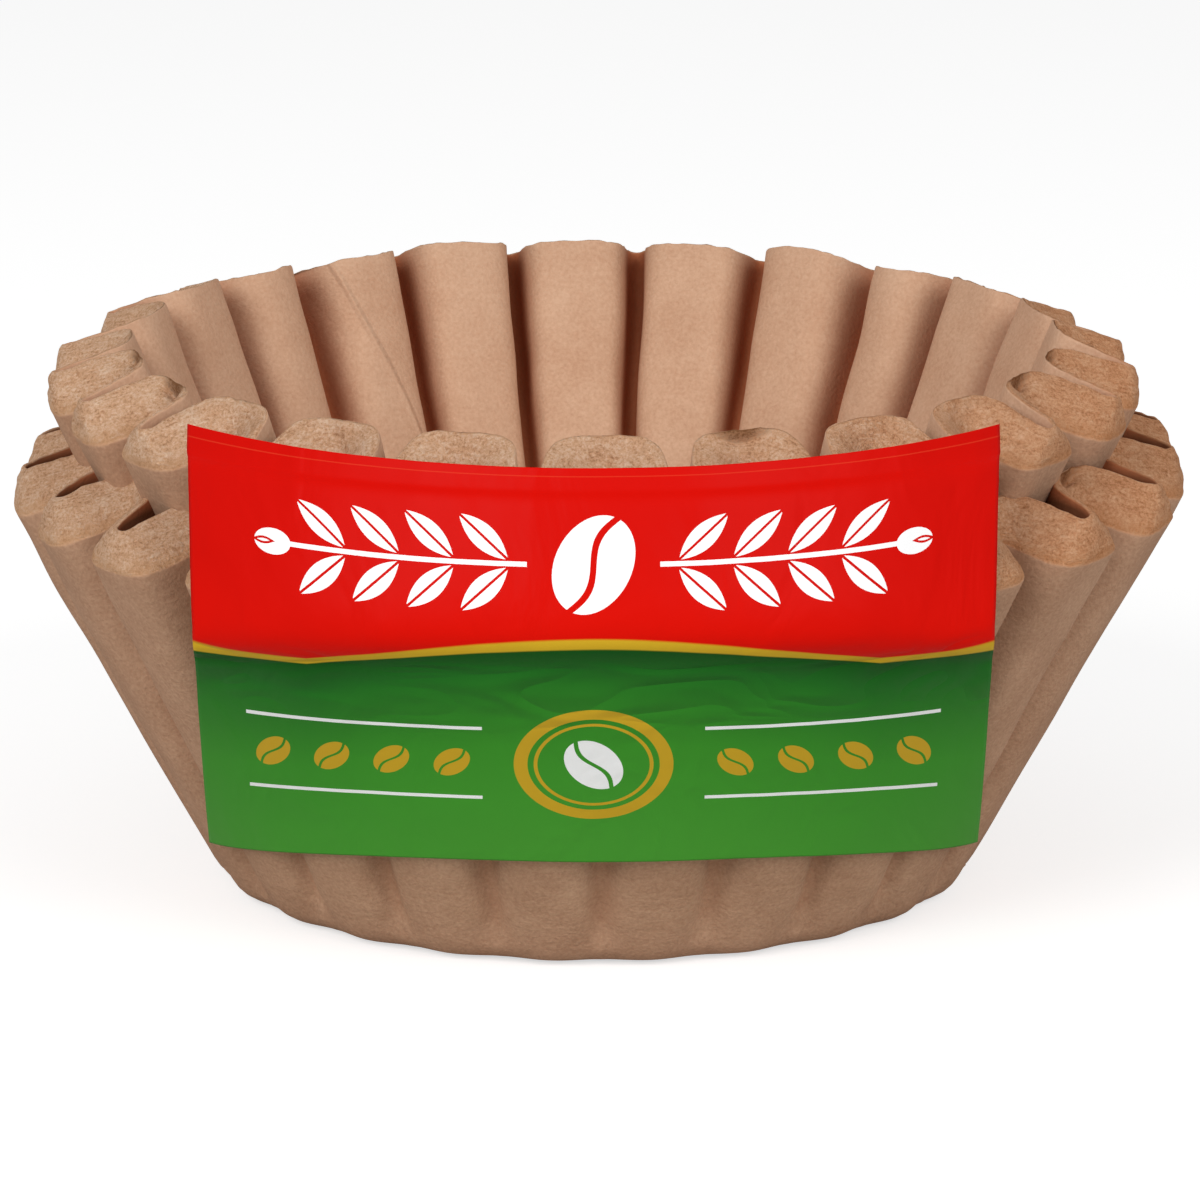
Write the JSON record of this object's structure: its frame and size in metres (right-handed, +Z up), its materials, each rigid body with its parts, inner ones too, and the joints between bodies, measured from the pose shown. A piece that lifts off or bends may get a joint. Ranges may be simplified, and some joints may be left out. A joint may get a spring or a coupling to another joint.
{
  "type": "nested stack of paper coffee filters",
  "caption": "Nested stacks of fluted brown paper basket filters with flat bases, cup-shaped and open at the top, with a printed label sheet wrapped over the front.",
  "frame": {"origin": "middle of the flat base, on the surface it stands on", "axes": "+Z up, the open mouth upwards; -Y towards the viewer, through the middle of the label; +X to the viewer's right"},
  "size_m": [0.1635, 0.1774, 0.0769],
  "materials": {
    "filter_paper": "matte, slightly fibrous",
    "label_film": "glossy printed film"
  },
  "bodies": {
    "root": {"inner_stack": "filter_paper", "outer_stack": "filter_paper", "label": "label_film"}
  },
  "joints": []
}
